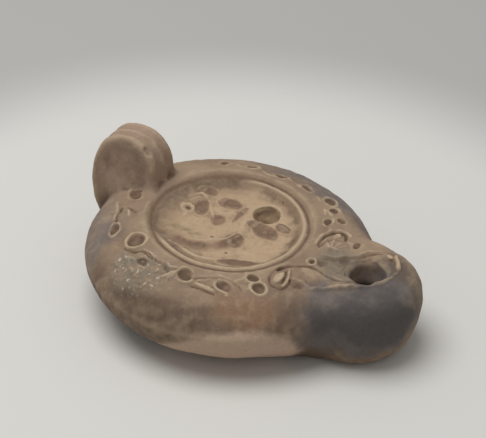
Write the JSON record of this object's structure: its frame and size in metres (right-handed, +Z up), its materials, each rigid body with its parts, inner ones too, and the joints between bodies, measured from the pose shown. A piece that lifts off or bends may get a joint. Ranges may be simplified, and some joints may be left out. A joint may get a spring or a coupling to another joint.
{
  "type": "roman oil lamp",
  "caption": "Low round clay oil lamp with a sunken picture disc, a vine-patterned shoulder, a short scrolled nozzle and a grooved lug handle.",
  "frame": {"origin": "middle of the flat foot that the lamp stands on, under the middle of the disc", "axes": "+Z up, +X from the disc's middle towards the nozzle and the wick hole, handle towards -X"},
  "size_m": [0.0928, 0.0732, 0.0366],
  "materials": {
    "fired_clay": "worn tan to grey-brown fired clay with fire-clouds and crusts"
  },
  "bodies": {
    "root": {"lamp": "fired_clay"}
  },
  "joints": []
}
